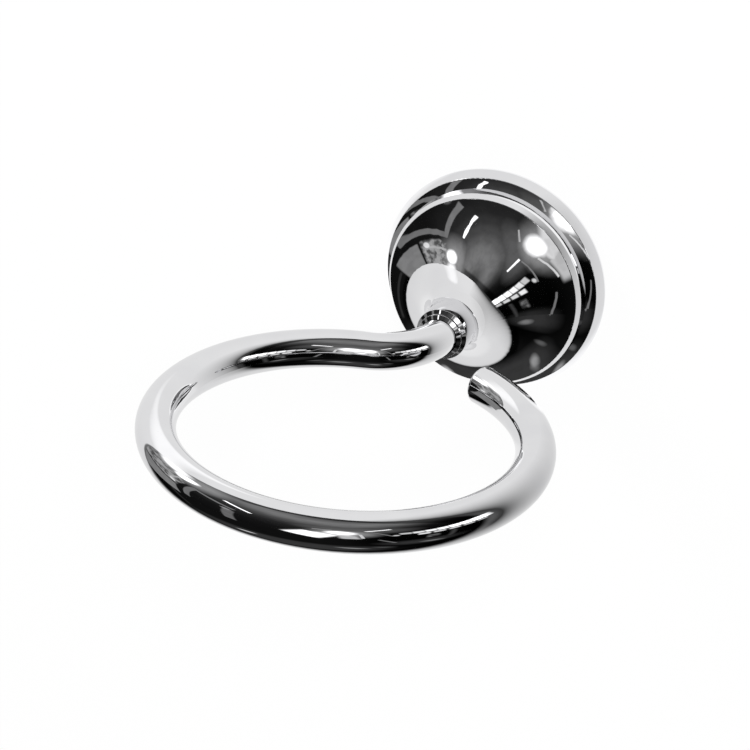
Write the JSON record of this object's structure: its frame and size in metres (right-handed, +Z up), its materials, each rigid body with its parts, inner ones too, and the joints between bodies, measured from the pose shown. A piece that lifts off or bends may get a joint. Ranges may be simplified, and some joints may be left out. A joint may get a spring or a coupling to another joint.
{
  "type": "towel ring",
  "caption": "Open ring of round rod standing level from a flared round wall rosette, with its wall bracket and fixings.",
  "frame": {"origin": "centre of the rosette and its bracket on the wall plane", "axes": "-Y out of the wall along the rosette's axis, +Z up, +X to the side of the ring's free end"},
  "size_m": [0.103, 0.1562, 0.065],
  "materials": {
    "ring_chrome": "polished",
    "collar_chrome": "polished",
    "rosette_chrome": "polished",
    "bracket_zinc": "cast",
    "fixing_steel": "plated"
  },
  "bodies": {
    "root": {"towel_ring": "ring_chrome", "collar": "collar_chrome", "rosette": "rosette_chrome", "wall_bracket": "bracket_zinc", "set_screw": "fixing_steel", "washer": "fixing_steel", "nut": "fixing_steel"}
  },
  "joints": []
}
